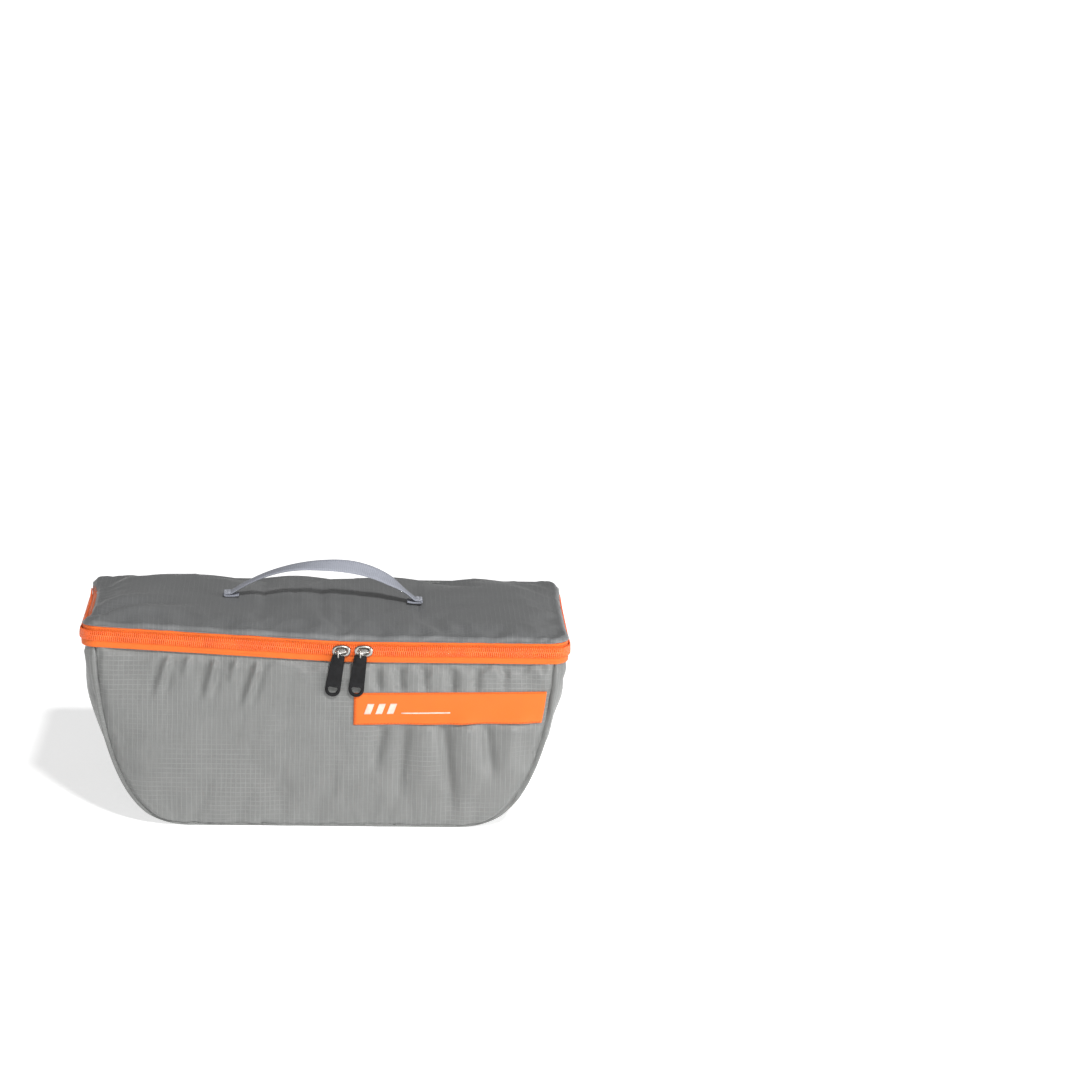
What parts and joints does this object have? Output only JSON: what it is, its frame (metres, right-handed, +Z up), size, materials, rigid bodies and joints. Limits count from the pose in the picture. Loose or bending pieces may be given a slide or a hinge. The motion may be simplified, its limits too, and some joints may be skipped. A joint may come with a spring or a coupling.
{
  "type": "packing cube",
  "caption": "Soft fabric packing cube: a bow-sided tub with a lid hinged along the rear, a two-way zip round three sides, a webbing carry handle and a side label.",
  "frame": {"origin": "middle of the underside, on the plane that the base rests on", "axes": "+Z up, -Y towards the front face that carries the sliders and the label, +X towards the label's sewn end"},
  "size_m": [0.31, 0.172, 0.156],
  "materials": {
    "ripstop": "grey ripstop nylon, satin sheen",
    "zip_tape": "orange woven polyester zip tape",
    "zip_coil": "orange nylon coil, satin",
    "binding": "dark grey bias tape",
    "label": "orange woven strip",
    "webbing": "light grey woven webbing",
    "thread": "light grey thread",
    "nickel": "nickel plate, slightly worn",
    "pull_black": "matt black moulded plastic"
  },
  "bodies": {
    "bag": {"front_panel": "ripstop", "back_panel": "ripstop", "gusset": "ripstop", "zip_tape_body": "zip_tape", "zip_coil_body": "zip_coil", "body_rim_binding": "binding", "front_seam_binding": "binding", "back_seam_binding": "binding", "hinge_binding": "binding", "zip_end_left": "ripstop", "zip_end_right": "ripstop", "label_strip": "label"},
    "lid": {"lid_panel": "ripstop", "zip_tape_lid": "zip_tape", "zip_coil_lid": "zip_coil", "lid_rim_binding": "binding", "handle_end_left": "webbing", "handle_end_right": "webbing", "handle_bartack_left": "thread", "handle_bartack_right": "thread", "handle_patch_left": "binding", "handle_patch_right": "binding"},
    "handle": {"handle_strap": "webbing"},
    "left_slider": {"slider_left": "nickel"},
    "right_slider": {"slider_right": "nickel"},
    "left_pull_link": {"pull_link_left": "nickel"},
    "right_pull_link": {"pull_link_right": "nickel"},
    "left_pull_tab": {"pull_tab_left": "pull_black"},
    "right_pull_tab": {"pull_tab_right": "pull_black"}
  },
  "joints": [
    {"name": "lid_hinge", "type": "hinge", "parent": "bag", "child": "lid", "pos_m": [0, 0.08, 0.1243], "axis": [-1, 0, 0], "range_deg": [0, 180]},
    {"name": "handle_swing", "type": "hinge", "parent": "lid", "child": "handle", "pos_m": [-0.002, 0, 0.12923], "axis": [1, 0, 0], "range_deg": [-55, 55], "stiffness_Nm_per_rad": 0.004},
    {"name": "left_slide", "type": "slide", "parent": "bag", "child": "left_slider", "axis": [-0.9987, 0, 0.0519], "range_m": [0, 0.14]},
    {"name": "right_slide", "type": "slide", "parent": "bag", "child": "right_slider", "axis": [1, 0, 0], "range_m": [0, 0.11]},
    {"name": "left_pull_lift", "type": "hinge", "parent": "left_slider", "child": "left_pull_link", "pos_m": [0.008, -0.08395, 0.1165], "axis": [-1, 0, 0], "range_deg": [0, 150]},
    {"name": "left_tab_swing", "type": "hinge", "parent": "left_pull_link", "child": "left_pull_tab", "pos_m": [0.008, -0.08395, 0.1128], "axis": [0, 1, 0], "range_deg": [-6, 22]},
    {"name": "right_pull_lift", "type": "hinge", "parent": "right_slider", "child": "right_pull_link", "pos_m": [0.022, -0.08395, 0.1165], "axis": [-1, 0, 0], "range_deg": [0, 150]},
    {"name": "right_tab_swing", "type": "hinge", "parent": "right_pull_link", "child": "right_pull_tab", "pos_m": [0.022, -0.08395, 0.1128], "axis": [0, 1, 0], "range_deg": [-22, 6]}
  ]
}
